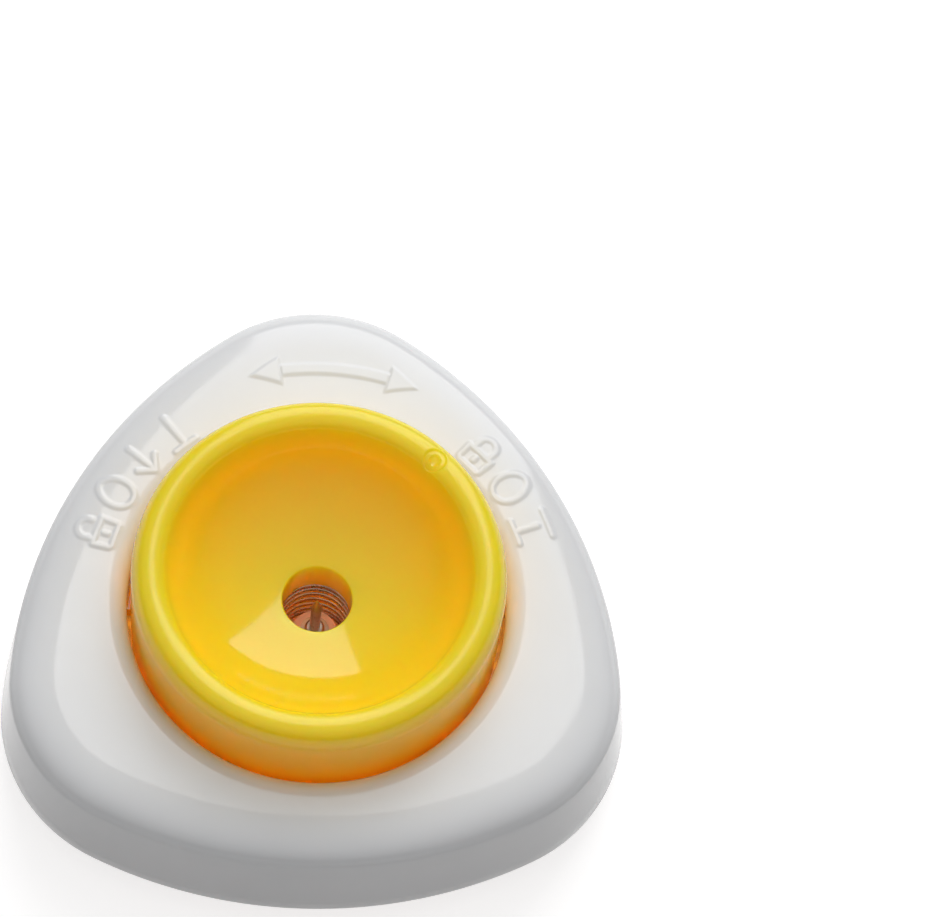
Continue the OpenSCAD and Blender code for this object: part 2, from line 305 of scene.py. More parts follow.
@dataclass
class NodeSheet:
    """A node tree with short ways to add nodes and to join them."""

    tree: bpy.types.NodeTree

    def add(self, kind: str, **inputs: object) -> bpy.types.Node:
        """Adds a node.

        Args:
            kind: Blender's name of the node type.
            inputs: Values of its sockets, with _ for each space in a socket's name.

        Returns:
            The new node.
        """
        node = self.tree.nodes.new(kind)
        for name, value in inputs.items():
            node.inputs[name.replace("_", " ")].default_value = value
        return node

    def join(self, source: Socket, target: Socket) -> None:
        """Joins an output to an input."""
        self.tree.links.new(source, target)

    def noise(self, scale: float, detail: float, stretch: Triple = (1.0, 1.0, 1.0)) -> Socket:
        """Adds noise in the object's own coordinates.

        Args:
            scale: Waves in a metre, roughly.
            detail: Finer layers on top.
            stretch: How much finer the noise is along each axis.

        Returns:
            The noise's socket, about 0 to 1.
        """
        place = self.add("ShaderNodeTexCoord")
        mapping = self.add("ShaderNodeMapping", Scale=stretch)
        noise = self.add(
            "ShaderNodeTexNoise", Scale=scale, Detail=detail, Roughness=NOISE_ROUGHNESS
        )
        self.join(place.outputs["Object"], mapping.inputs["Vector"])
        self.join(mapping.outputs["Vector"], noise.inputs["Vector"])
        return noise.outputs["Fac"]

    def spread(self, source: Socket, span: Pair, levels: Pair) -> Socket:
        """Maps part of a value's range to another range.

        Args:
            source: The value.
            span: Where the mapped part starts and ends.
            levels: What it is mapped to at either end.

        Returns:
            The mapped socket.
        """
        (start, end), (low, high) = span, levels
        node = self.add("ShaderNodeMapRange", From_Min=start, From_Max=end, To_Min=low, To_Max=high)
        self.join(source, node.inputs["Value"])
        return node.outputs["Result"]

    def height(self, coordinates: str) -> Socket:
        """Adds the height of a place.

        Args:
            coordinates: Blender's name of the coordinates.

        Returns:
            The height's socket.
        """
        place = self.add("ShaderNodeTexCoord")
        parts = self.add("ShaderNodeSeparateXYZ")
        self.join(place.outputs[coordinates], parts.inputs["Vector"])
        return parts.outputs["Z"]

    def operate(self, operation: str, *values: Socket | float) -> Socket:
        """Adds a sum, product or other plain operation.

        Args:
            operation: Blender's name of the operation.
            values: Its values in order, as sockets or as plain numbers.

        Returns:
            The result's socket.
        """
        node = self.add("ShaderNodeMath")
        node.operation = operation
        for value, target in zip(values, node.inputs):
            if isinstance(value, float):
                target.default_value = value
            else:
                self.join(value, target)
        return node.outputs["Value"]

    def blend(self, source: Socket, dark: Colour, light: Colour) -> Socket:
        """Blends two colours by a noise.

        Args:
            source: The noise.
            dark: Colour where the noise is low.
            light: Colour where it is high.

        Returns:
            The colour's socket.
        """
        ramp = self.add("ShaderNodeValToRGB")
        ends = ramp.color_ramp.elements
        ends[0].position, ends[1].position = NOISE_MIDDLE
        ends[0].color, ends[1].color = (*dark, 1.0), (*light, 1.0)
        self.join(source, ramp.inputs["Fac"])
        return ramp.outputs["Color"]

    def bump(self, source: Socket, height: float, strength: float) -> bpy.types.Node:
        """Adds a bump.

        Args:
            source: The noise that gives the bump.
            height: Its height in metres.
            strength: Its strength from 0 to 1.

        Returns:
            The bump node.
        """
        node = self.add("ShaderNodeBump", Distance=height, Strength=strength)
        self.join(source, node.inputs["Height"])
        return node


def new_material(name: str) -> tuple[bpy.types.Material, NodeSheet]:
    """Starts a material with nodes.

    Args:
        name: Name of the material.

    Returns:
        The material and its node tree.
    """
    made = bpy.data.materials.new(name)
    made.use_nodes = True
    return made, NodeSheet(made.node_tree)


@dataclass(frozen=True)
class MouldedPlastic:
    """Glossy moulded plastic with faint waves and flow marks, duller above where it is rubbed."""

    name: str
    dark: Colour
    light: Colour
    roughness: float
    rubbed_roughness: float
    rubbed_span: Pair
    ior: float
    glow: float
    glow_depth: float
    glow_radius: Colour
    flow_scale: float = 45.0
    haze_scale: float = 380.0
    haze_levels: Pair = (0.85, 1.2)
    wave_scale: float = 160.0
    wave_height: float = 0.00006
    wave_strength: float = 0.07
    grain_scale: float = 2600.0
    grain_height: float = 0.000006
    grain_strength: float = 0.25

    def material(self) -> bpy.types.Material:
        """Builds the material.

        Returns:
            The new material.
        """
        made, sheet = new_material(self.name)
        shader = made.node_tree.nodes["Principled BSDF"]
        shader.inputs["IOR"].default_value = self.ior
        shader.inputs["Subsurface Weight"].default_value = self.glow
        shader.inputs["Subsurface Scale"].default_value = self.glow_depth
        shader.inputs["Subsurface Radius"].default_value = self.glow_radius
        flow = sheet.noise(self.flow_scale, detail=3.0)
        sheet.join(sheet.blend(flow, self.dark, self.light), shader.inputs["Base Color"])
        cloud = sheet.noise(self.haze_scale, detail=4.0)
        haze = sheet.spread(cloud, NOISE_MIDDLE, self.haze_levels)
        wear = sheet.spread(
            sheet.height("Object"), self.rubbed_span, (self.roughness, self.rubbed_roughness)
        )
        sheet.join(sheet.operate("MULTIPLY", haze, wear), shader.inputs["Roughness"])
        waves = sheet.bump(
            sheet.noise(self.wave_scale, detail=1.0), self.wave_height, self.wave_strength
        )
        grain = sheet.bump(
            sheet.noise(self.grain_scale, detail=2.0), self.grain_height, self.grain_strength
        )
        sheet.join(waves.outputs["Normal"], grain.inputs["Normal"])
        sheet.join(grain.outputs["Normal"], shader.inputs["Normal"])
        return made


@dataclass(frozen=True)
class WorkedSteel:
    """Bare steel with fine marks from drawing, grinding or turning."""

    name: str
    dark: Colour
    light: Colour
    roughness: float
    marks: float
    stretch: Triple
    tint_scale: float = 500.0
    roughness_levels: Pair = (0.7, 1.35)
    score_height: float = 0.000012
    score_strength: float = 0.35

    def material(self) -> bpy.types.Material:
        """Builds the material.

        Returns:
            The new material.
        """
        made, sheet = new_material(self.name)
        shader = made.node_tree.nodes["Principled BSDF"]
        shader.inputs["Metallic"].default_value = 1.0
        tint = sheet.noise(self.tint_scale, detail=4.0)
        sheet.join(sheet.blend(tint, self.dark, self.light), shader.inputs["Base Color"])
        marks = sheet.noise(self.marks, detail=5.0, stretch=self.stretch)
        low, high = self.roughness_levels
        levels = (self.roughness * low, self.roughness * high)
        sheet.join(sheet.spread(marks, NOISE_MIDDLE, levels), shader.inputs["Roughness"])
        scores = sheet.bump(marks, self.score_height, self.score_strength)
        sheet.join(scores.outputs["Normal"], shader.inputs["Normal"])
        return made


WHITE_PLASTIC = MouldedPlastic(
    name="white_plastic",
    dark=(0.803, 0.81, 0.822),
    light=(0.843, 0.85, 0.862),
    roughness=0.1,
    rubbed_roughness=0.12,
    rubbed_span=(0.016, 0.018),
    ior=1.48,
    glow=0.15,
    glow_depth=0.002,
    glow_radius=(1.0, 0.95, 0.9),
)
YELLOW_PLASTIC = MouldedPlastic(
    name="yellow_plastic",
    dark=(0.95, 0.695, 0.018),
    light=(0.97, 0.735, 0.025),
    roughness=0.1,
    rubbed_roughness=0.2,
    rubbed_span=(0.0245, 0.0262),
    ior=1.44,
    glow=1.0,
    glow_depth=0.014,
    glow_radius=(0.55, 0.42, 0.05),
)
SPRING_STEEL = WorkedSteel(
    name="spring_steel",
    dark=(0.44, 0.36, 0.3),
    light=(0.6, 0.52, 0.45),
    roughness=0.28,
    marks=1500.0,
    stretch=(1.0, 1.0, 4.0),
)
PIN_STEEL = WorkedSteel(
    name="pin_steel",
    dark=(0.42, 0.4, 0.37),
    light=(0.58, 0.56, 0.53),
    roughness=0.34,
    marks=2200.0,
    stretch=(4.0, 4.0, 0.25),
)
COLLAR_STEEL = WorkedSteel(
    name="collar_steel",
    dark=(0.38, 0.36, 0.33),
    light=(0.52, 0.5, 0.47),
    roughness=0.38,
    marks=2000.0,
    stretch=(0.3, 0.3, 5.0),
)
SCREW_STEEL = WorkedSteel(
    name="screw_steel",
    dark=(0.52, 0.53, 0.55),
    light=(0.68, 0.68, 0.7),
    roughness=0.32,
    marks=900.0,
    stretch=(1.0, 1.0, 1.0),
)


def dress(piece: Piece, finish: MouldedPlastic | WorkedSteel) -> None:
    """Gives a piece one finish, made once and shared.

    Args:
        piece: A new piece or a node of the frame.
        finish: The finish it gets.
    """
    made = bpy.data.materials.get(finish.name + "_finish")
    if made is None:
        made = finish.material()
        made.name = finish.name + "_finish"
    if not piece.material_slots:
        piece.data.materials.append(made)
    for holder in piece.material_slots:
        holder.material = made


def settle(piece: Piece, body: Body, slot: Slot, *nodes: str) -> None:
    """Makes a piece ride on a body and stand for nodes of the frame.

    Args:
        piece: The finished piece.
        body: The body it moves with.
        slot: The record's material slot, not used.
        nodes: The nodes that it stands for.
    """
    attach(piece, body.value)
    if nodes:
        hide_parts(*nodes)
    log.info("%s rides on %s", piece.name, body.value)


# The body


@dataclass(frozen=True)
class Outline:
    """The body's outline: three corner arcs and three side arcs, each tangent to the next."""

    width: float = 72.0
    corner_r: float = 19.5
    side_r: float = 56.5
    first_corner: float = 90.0

    @property
    def half_chord(self) -> float:
        """Half the distance between two corner centres."""
        return self.width / 2 - self.corner_r

    @property
    def corner_dist(self) -> float:
        """Distance of the corner centres from the axis."""
        return self.half_chord / math.cos(math.pi / 6)

    @property
    def side_depth(self) -> float:
        """Distance of a side's centre from the line between two corner centres."""
        return math.sqrt((self.side_r - self.corner_r) ** 2 - self.half_chord**2)

    @property
    def side_centre(self) -> float:
        """Place of a side's centre along that side's direction."""
        return self.corner_dist / 2 - self.side_depth

    @property
    def side_half_angle(self) -> float:
        """Half the angle that a side's arc spans, in radians."""
        return math.atan2(self.half_chord, self.side_depth)

    def folded(self, angles: np.ndarray) -> np.ndarray:
        """Angles from the middle of the nearest side.

        Args:
            angles: Angles about the axis in radians.

        Returns:
            One angle for each, from 0 to half the pitch.
        """
        pitch = math.radians(PITCH)
        from_corner = (angles - math.radians(self.first_corner)) % pitch
        return np.abs(from_corner - pitch / 2)

    def radius(self, angles: np.ndarray, inset: float) -> np.ndarray:
        """Distance from the axis to the outline.

        Args:
            angles: Angles about the axis in radians.
            inset: How far the outline is drawn in.

        Returns:
            One radius for each angle.
        """
        fold = self.folded(angles)
        side, corner = self.side_r - inset, self.corner_r - inset
        half = self.side_half_angle
        turn = math.atan2(side * math.sin(half), self.side_centre + side * math.cos(half))
        past = math.radians(PITCH / 2) - fold
        on_side = self.side_centre * np.cos(fold) + np.sqrt(
            side**2 - (self.side_centre * np.sin(fold)) ** 2
        )
        on_corner = self.corner_dist * np.cos(past) + np.sqrt(
            np.maximum(corner**2 - (self.corner_dist * np.sin(past)) ** 2, 0.0)
        )
        return np.where(fold <= turn, on_side, on_corner)

    def row(self, angles: np.ndarray, inset: float, height: float) -> np.ndarray:
        """One row of points along the outline.

        Args:
            angles: Angles of the columns in radians.
            inset: How far the outline is drawn in.
            height: Height of the row.

        Returns:
            Points shaped (columns, 3).
        """
        radius = self.radius(angles, inset)
        level = np.full_like(angles, height)
        return np.stack([radius * np.cos(angles), radius * np.sin(angles), level], axis=-1)

    def rows(self, angles: np.ndarray, profile: Profile) -> np.ndarray:
        """Rows of points along the outline, one for each inset and height of a profile."""
        return np.array([self.row(angles, inset, height) for inset, height in profile])


OUTLINE = Outline()


@dataclass(frozen=True)
class ScrewPlace:
    """Where the three screws go."""

    radius: float = 30.05

    def move(self, tool: Piece, number: int) -> Piece:
        """Moves a piece from the axis to a screw's place.

        Args:
            tool: A piece made about the axis.
            number: Which of the screws, from 0.

        Returns:
            The same piece.
        """
        angle = math.radians(OUTLINE.first_corner + PITCH * number)
        place = Vector((math.cos(angle), math.sin(angle), 0.0)) * self.radius * MM
        tool.data.transform(Matrix.Translation(place) @ Matrix.Rotation(angle, 4, "Z"))
        return tool


SCREWS_AT = ScrewPlace()


@dataclass(frozen=True)
class MouldedSigns:
    """Low raised signs on the top: a turning arrow between two rows of small pictures."""

    height: float = 0.13
    edge: float = 0.22
    stroke: float = 0.36
    row_r: float = 26.5
    arrow_r: float = 29.05
    arrow_bases: Pair = (73.5, 98.7)
    arrow_tips: Pair = (66.5, 105.8)
    shaft: float = 0.7
    head: float = 1.75
    left_middle: float = 145.2
    right_middle: float = 32.3
    left: SignRow = (
        (Sign.OPEN_PADLOCK, -8.0),
        (Sign.EGG, -2.7),
        (Sign.PRESS, 2.4),
        (Sign.NEEDLE, 7.6),
    )
    right: SignRow = (
        (Sign.CLOSED_PADLOCK, -5.6),
        (Sign.EGG, -0.2),
        (Sign.COVERED_NEEDLE, 5.4),
    )

    @staticmethod
    def lines(sign: Sign) -> list[np.ndarray]:
        """Lines that draw a sign, some 4.4 mm high, round its middle.

        Args:
            sign: The sign.

        Returns:
            The points of each line, across and outwards.
        """
        case = [(-1.7, -1.9), (-1.4, -2.2), (1.4, -2.2), (1.7, -1.9), (1.7, 0.0), (-1.7, 0.0)]
        case.append(case[0])
        keyhole = [(0.0, -0.85), (0.0, -1.3)]
        foot = [(-1.6, -2.15), (1.6, -2.15)]
        turn = np.linspace(0.0, 2 * math.pi, 49)
        egg = [(1.65 * math.sin(t) * (1 - 0.16 * math.cos(t)), 2.2 * math.cos(t)) for t in turn]
        closed = [(-1.1, 0.0), *arc((0.0, 1.05), (1.1, 1.1), 180.0, 0.0, steps=12), (1.1, 0.0)]
        opened = [(-1.1, 0.0), *arc((0.0, 1.3), (1.1, 1.0), 180.0, -15.0, steps=12)]
        drawn = {
            Sign.CLOSED_PADLOCK: [case, keyhole, closed],
            Sign.OPEN_PADLOCK: [case, keyhole, opened],
            Sign.EGG: [egg],
            Sign.PRESS: [[(0.0, 2.1), (0.0, -2.1)], [(-1.5, -0.6), (0.0, -2.15), (1.5, -0.6)]],
            Sign.NEEDLE: [foot, [(0.0, -2.1), (0.0, 2.2)]],
            Sign.COVERED_NEEDLE: [foot, [(0.0, -2.1), (0.0, 0.6)], [(-1.6, 1.9), (1.6, 1.9)]],
        }
        return [np.array(points) for points in drawn[sign]]

    @staticmethod
    def to_lines(across: np.ndarray, out: np.ndarray, points: np.ndarray) -> np.ndarray:
        """Distance of places from a drawn line.

        Args:
            across: Places to the right.
            out: Places outwards.
            points: The line's points.

        Returns:
            The least distance for each place.
        """
        best = np.full(across.shape, np.inf)
        for (x0, y0), (x1, y1) in zip(points[:-1], points[1:]):
            dx, dy = x1 - x0, y1 - y0
            share = np.clip(((across - x0) * dx + (out - y0) * dy) / (dx * dx + dy * dy), 0.0, 1.0)
            best = np.minimum(best, np.hypot(across - x0 - share * dx, out - y0 - share * dy))
        return best

    def row_distance(
        self, radius: np.ndarray, angles: np.ndarray, middle: float, row: SignRow
    ) -> np.ndarray:
        """Distance of places from the edge of a row of signs, less than 0 inside.

        Args:
            radius: Distance of each place from the axis.
            angles: Angle of each place in degrees.
            middle: Angle of the row's middle.
            row: The signs, and how far each is to the right of the middle.

        Returns:
            The distances.
        """
        across = np.radians(middle - angles) * self.row_r
        out = radius - self.row_r
        best = np.full(radius.shape, np.inf)
        for sign, place in row:
            for points in self.lines(sign):
                best = np.minimum(best, self.to_lines(across - place, out, points) - self.stroke)
        return best

    def arrow_distance(self, radius: np.ndarray, angles: np.ndarray) -> np.ndarray:
        """Distance of places from the edge of the turning arrow, less than 0 inside.

        Args:
            radius: Distance of each place from the axis.
            angles: Angle of each place in degrees.

        Returns:
            The distances.
        """
        along = np.radians(angles) * self.arrow_r
        out = np.abs(radius - self.arrow_r)
        bases = np.radians(np.array(self.arrow_bases)) * self.arrow_r
        tips = np.radians(np.array(self.arrow_tips)) * self.arrow_r
        best = np.maximum(out - self.shaft, np.maximum(bases[0] - along, along - bases[1]))
        for base, tip in zip(bases, tips):
            length = abs(tip - base)
            past = (along - base) * math.copysign(1.0, tip - base)
            flank = (out * length - self.head * (length - past)) / math.hypot(length, self.head)
            best = np.minimum(best, np.maximum(flank, -past))
        return best

    def rise(self, points: np.ndarray) -> np.ndarray:
        """How far the signs lift the top.

        Args:
            points: Points of the top, shaped (rows, columns, 3).

        Returns:
            The lift of each point.
        """
        radius = np.hypot(points[..., 0], points[..., 1])
        angles = np.degrees(np.arctan2(points[..., 1], points[..., 0]))
        left = self.row_distance(radius, angles, self.left_middle, self.left)
        right = self.row_distance(radius, angles, self.right_middle, self.right)
        best = np.minimum(self.arrow_distance(radius, angles), np.minimum(left, right))
        return self.height * smooth_step(self.edge, -self.edge, best)


@dataclass(frozen=True)
class Housing:
    """White shell with a soft shoulder, a rounded opening and the sleeve that guides the cup."""

    seam_z: float = 4.5
    top_z: float = 17.6
    wall_t: float = 2.0
    top_t: float = 2.0
    wall_lean: float = 1.2
    shoulder_w: float = 5.4
    shoulder_h: float = 2.9
    opening_r: float = 21.7
    lip_r: float = 2.4
    sleeve_z: float = 11.8
    sleeve_t: float = 2.0
    sleeve_round: float = 0.3
    seam_round: float = 0.25
    post_r: float = 3.3
    post_z: float = 4.05
    pilot_r: float = 1.32
    pilot_top: float = 13.05
    post_columns: int = 64
    stop_radii: Pair = (22.2, 25.45)
    stop_heights: Pair = (4.2, 16.1)
    stop_start: float = 28.5
    stop_span: float = 5.0
    fine_step: float = 0.3
    plain_step: float = 1.5
    fine_shoulder: float = 0.44
    top_rows: int = 45
    sharp_angle: float = 40.0
    sign_sectors: tuple[Pair, ...] = ((9.0, 54.0), (64.0, 108.0), (118.0, 171.0))
    signs: MouldedSigns = MouldedSigns()

    def columns(self) -> np.ndarray:
        """Angles of the columns, closer together at the signs.

        Returns:
            The angles in radians.
        """
        found: list[float] = []
        angle = 0.0
        while angle < 360.0 - self.fine_step / 2:
            found.append(angle)
            fine = any(low <= angle < high for low, high in self.sign_sectors)
            angle += self.fine_step if fine else self.plain_step
        return np.radians(np.array(found))

    @property
    def shoulder_start(self) -> float:
        """Angle on the shoulder's ellipse, in radians, where it is as steep as the leaning wall."""
        slope = self.wall_lean / (self.top_z - self.shoulder_h - self.seam_z)
        return math.atan(slope * self.shoulder_h / self.shoulder_w)

    @property
    def shoulder_rise(self) -> float:
        """How far the shoulder rises from where it starts."""
        return self.shoulder_h * (1 - math.sin(self.shoulder_start))

    def shoulder(
        self, inset: float, rise: float, end_z: float, width: float, shares: np.ndarray
    ) -> Profile:
        """Part of an ellipse that carries on the wall's lean and meets the top level.

        Args:
            inset: Inset where it starts.
            rise: How far it rises.
            end_z: Height where it ends.
            width: Half axis across.
            shares: How far along the points are, from 0 to 1.

        Returns:
            Inset and height of each point.
        """
        start = self.shoulder_start
        height = rise / (1 - math.sin(start))
        turns = start + (math.pi / 2 - start) * shares
        return [
            (inset + width * (math.cos(start) - math.cos(t)), end_z - height * (1 - math.sin(t)))
            for t in turns
        ]

    def outside(self, angles: np.ndarray) -> np.ndarray:
        """Rows from the seam up the wall, over the shoulder and the top, and into the lip.

        Args:
            angles: Angles of the columns in radians.

        Returns:
            Points shaped (rows, columns, 3).
        """
        seam = self.seam_round
        rise = self.shoulder_rise
        wall = arc((seam, self.seam_z + seam), (seam, seam), 270.0, 180.0, steps=4)
        wall += line(wall[-1], (self.wall_lean, self.top_z - rise), steps=6)[1:]
        lower = np.linspace(0.0, self.fine_shoulder, 12)
        upper = np.linspace(self.fine_shoulder, 1.0, 33)
        shares = np.concatenate([lower, upper[1:]])
        wall += self.shoulder(self.wall_lean, rise, self.top_z, self.shoulder_w, shares[1:])
        rows = OUTLINE.rows(angles, wall)
        lip_r = self.lip_r
        lip_centre = (self.opening_r + lip_r, self.top_z - lip_r)
        lip = arc(lip_centre, (lip_r, lip_r), 90.0, 180.0, steps=16)
        circle = turned([lip[0]], angles)[0]
        inward = np.linspace(0.0, 1.0, self.top_rows)[1:-1]
        level = np.array([rows[-1] * (1 - s) + circle * s for s in inward])
        top = np.concatenate([rows, level, turned(lip, angles)])
        top[..., 2] += self.signs.rise(top)
        return top

    def inside(self, angles: np.ndarray) -> np.ndarray:
        """Rows from the bore down the sleeve, under the top and down the inner wall to the seam.

        Args:
            angles: Angles of the columns in radians.

        Returns:
            Points shaped (rows, columns, 3).
        """
        under_z = self.top_z - self.top_t
        bore_r, sleeve_r = self.opening_r, self.opening_r + self.sleeve_t
        edge = self.sleeve_round
        edge_z = self.sleeve_z + edge
        sleeve = line((bore_r, self.top_z - self.lip_r), (bore_r, edge_z), steps=3)[1:]
        sleeve += arc((bore_r + edge, edge_z), (edge, edge), 180.0, 270.0, steps=3)[1:]
        sleeve += [(sleeve_r, self.sleeve_z), (sleeve_r, under_z)]
        thinner = self.top_t / 2
        wall = self.shoulder(
            inset=self.wall_t + self.wall_lean,
            rise=self.shoulder_rise - thinner,
            end_z=under_z,
            width=self.shoulder_w - thinner,
            shares=np.linspace(1.0, 0.0, 10),
        )
        wall.append((self.wall_t, self.seam_z))
        return np.concatenate([turned(sleeve, angles), OUTLINE.rows(angles, wall)])

    def build(self) -> Piece:
        """Builds the housing with its posts and stops.

        Returns:
            The finished piece.
        """
        angles = self.columns()
        skin = np.concatenate([self.outside(angles), self.inside(angles)])
        piece = make_piece("housing_shell", skin, ring=True)
        in_top = self.top_z - self.top_t / 2
        post = [
            (self.pilot_r, self.pilot_top),
            (self.pilot_r, self.post_z),
            (self.post_r, self.post_z),
            (self.post_r, in_top),
        ]
        for number in range(CORNERS):
            tool = make_piece("tool", turned(post, whole_turn(self.post_columns)), ring=False)
            combine(piece, SCREWS_AT.move(tool, number), Join.ADD)
            start = self.stop_start + PITCH * number
            stop = arc_block(self.stop_radii, self.stop_heights, start, self.stop_span)
            combine(piece, stop, Join.ADD)
        shade(piece, self.sharp_angle)
        dress(piece, WHITE_PLASTIC)
        settle(piece, Body.BASE, Slot.WHITE, "housing")
        return piece


@dataclass(frozen=True)
class BaseTray:
    """White tray that closes the housing from below and carries the pin and the spring."""

    floor_t: float = 2.2
    foot_inset: float = 2.4
    foot_round: float = 0.6
    seam_step: float = 0.4
    seam_lean: float = 0.08
    seam_round: float = 0.15
    seam_round_in: float = 0.2
    seam_z: float = 4.5
    rim_inset: float = 2.15
    rim_t: float = 1.2
    rim_h: float = 2.0
    bevel: float = 0.3
    ring_radii: Pair = (19.45, 21.25)
    ring_z: float = 4.1
    seat_r: float = 5.6
    seat_z: float = 2.8
    guide_r: float = 3.725
    guide_z: float = 4.2
    boss_r: float = 2.6
    boss_z: float = 7.5
    bore_r: float = 1.17
    bore_z: float = 2.35
    screw_boss_r: float = 4.3
    screw_boss_z: float = 4.05
    head_hole_r: float = 2.8
    head_hole_bevel: float = 0.25
    head_seat_z: float = 2.0
    shank_hole_r: float = 1.45
    columns: int = 288
    hole_columns: int = 72
    sharp_angle: float = 32.0

    def build(self) -> Piece:
        """Builds the tray.

        Returns:
            The finished piece.
        """
        angles = whole_turn(self.columns)
        foot_r, seam_r, bevel = self.foot_round, self.seam_round, self.bevel
        seam_in, wall_z = self.seam_step + self.seam_round_in, self.seam_z - seam_r
        wall = arc((self.foot_inset + foot_r, foot_r), (foot_r, foot_r), 270.0, 180.0, steps=6)
        wall += line(wall[-1], (self.seam_step + self.seam_lean, wall_z), steps=4)[1:]
        wall += arc((seam_in, wall_z), (seam_r, seam_r), 160.0, 90.0, steps=3)
        rim_z = self.seam_z + self.rim_h
        wall += [
            (self.rim_inset, self.seam_z),
            (self.rim_inset, rim_z - bevel),
            (self.rim_inset + bevel, rim_z),
            (self.rim_inset + self.rim_t - bevel, rim_z),
            (self.rim_inset + self.rim_t, rim_z - bevel),
            (self.foot_inset + self.rim_t, self.floor_t),
        ]
        inner, outer = self.ring_radii
        middle = [
            (outer, self.floor_t),
            (outer, self.ring_z),
            (inner, self.ring_z),
            (inner, self.floor_t),
            (self.seat_r, self.floor_t),
            (self.seat_r, self.seat_z),
            (self.guide_r, self.seat_z),
            (self.guide_r, self.guide_z - bevel),
            (self.guide_r - bevel, self.guide_z),
            (self.boss_r, self.guide_z),
            (self.boss_r, self.boss_z),
            (self.bore_r, self.boss_z),
            (self.bore_r, self.bore_z),
        ]
        skin = np.concatenate([OUTLINE.rows(angles, wall), turned(middle, angles)])
        piece = make_piece("base_tray", skin, ring=False)
        boss = [(self.screw_boss_r, self.floor_t / 2), (self.screw_boss_r, self.screw_boss_z)]
        mouth_r = self.head_hole_r + self.head_hole_bevel
        hole = [
            (mouth_r, -CUT_PAST),
            (mouth_r, 0.0),
            (self.head_hole_r, self.head_hole_bevel),
            (self.head_hole_r, self.head_seat_z),
            (self.shank_hole_r, self.head_seat_z),
            (self.shank_hole_r, self.screw_boss_z + 2 * CUT_PAST),
        ]
        turns = whole_turn(self.hole_columns)
        for number in range(CORNERS):
            for profile, how in ((boss, Join.ADD), (hole, Join.CUT)):
                tool = make_piece("tool", turned(profile, turns), ring=False)
                combine(piece, SCREWS_AT.move(tool, number), how)
        shade(piece, self.sharp_angle)
        dress(piece, WHITE_PLASTIC)
        settle(piece, Body.BASE, Slot.WHITE, "base_plate")
        return piece


@dataclass(frozen=True)
class BaseScrews:
    """Three pan-head screws with a cross recess, driven up from below."""

    head_z: float = 0.3
    head_r: float = 2.5
    head_round: float = 0.9
    head_edge: float = 0.5
    seat_z: float = 2.0
    neck: Pair = (0.25, 0.05)
    core_r: float = 1.02
    thread_r: float = 1.29
    thread_pitch: float = 1.05
    thread_crest: float = 1.6
    thread_flank: float = 2.2
    thread_fade: float = 1.2
    tip_z: float = 11.0
    tip_len: float = 2.0
    tip_share: float = 0.08
    recess_w: float = 0.8
    recess_len: float = 3.1
    recess_h: float = 1.0
    recess_taper: float = 0.72
    columns: int = 48
    rows: int = 116
    sharp_angle: float = 35.0

    def screw(self, number: int) -> Piece:
        """Builds one screw.

        Args:
            number: Which of the screws, from 0.

        Returns:
            The screw in its place.
        """
        angles = whole_turn(self.columns)
        flat_r, edge_z = self.head_r - self.head_round, self.seat_z - self.head_edge
        (neck_r, neck_z), seat_z = self.neck, self.seat_z
        head = [(flat_r / 2, self.head_z), (flat_r, self.head_z)]
        round_h = edge_z - self.head_z
        head += arc((flat_r, edge_z), (self.head_round, round_h), 270.0, 360.0, steps=8)[1:]
        head += [(self.head_r, seat_z), (self.core_r + neck_r, seat_z)]
        heights = np.linspace(seat_z + neck_z, self.tip_z, self.rows)
        shank = turned([(1.0, z) for z in heights], angles)
        turns = heights[:, None] / self.thread_pitch - angles / (2 * math.pi)
        wave = np.abs((turns % 1.0) * 2 - 1)
        ridge = np.clip(self.thread_crest - self.thread_flank * wave, 0.0, 1.0)
        depth = (self.thread_r - self.core_r) * ridge
        fade = smooth_step(seat_z, seat_z + self.thread_fade, heights)[:, None]
        taper = np.clip((self.tip_z - heights) / self.tip_len, self.tip_share, 1.0)[:, None]
        shank[..., :2] *= ((self.core_r + depth * fade) * taper)[..., None]
        skin = np.concatenate([turned(head, angles), shank])
        piece = make_piece(f"base_screw_{number + 1}", skin, ring=False)
        for order in ((0, 1, 2), (1, 0, 2)):
            combine(piece, make_piece("tool", self.recess()[..., order], ring=False), Join.CUT)
        shade(piece, self.sharp_angle)
        return SCREWS_AT.move(piece, number)

    def recess(self) -> np.ndarray:
        """Makes the block that cuts one arm of the cross, narrower at its bottom.

        Returns:
            Points shaped (2, 4, 3).
        """
        half, slot = self.recess_len / 2, self.recess_w / 2
        corners = np.array([(1, 1), (-1, 1), (-1, -1), (1, -1)])
        wide = corners * (half, slot)
        narrow = corners * (half * self.recess_taper, slot * self.recess_taper)
        low, high = self.head_z - CUT_PAST, self.head_z + self.recess_h
        return np.stack([np.c_[wide, np.full(4, low)], np.c_[narrow, np.full(4, high)]])

    def build(self) -> list[Piece]:
        """Builds the three screws.

        Returns:
            The finished pieces.
        """
        pieces = [self.screw(number) for number in range(CORNERS)]
        for number, piece in enumerate(pieces):
            dress(piece, SCREW_STEEL)
            settle(piece, Body.BASE, Slot.SCREW, *(["base_screws"] if number == 0 else []))
        return pieces


# What moves


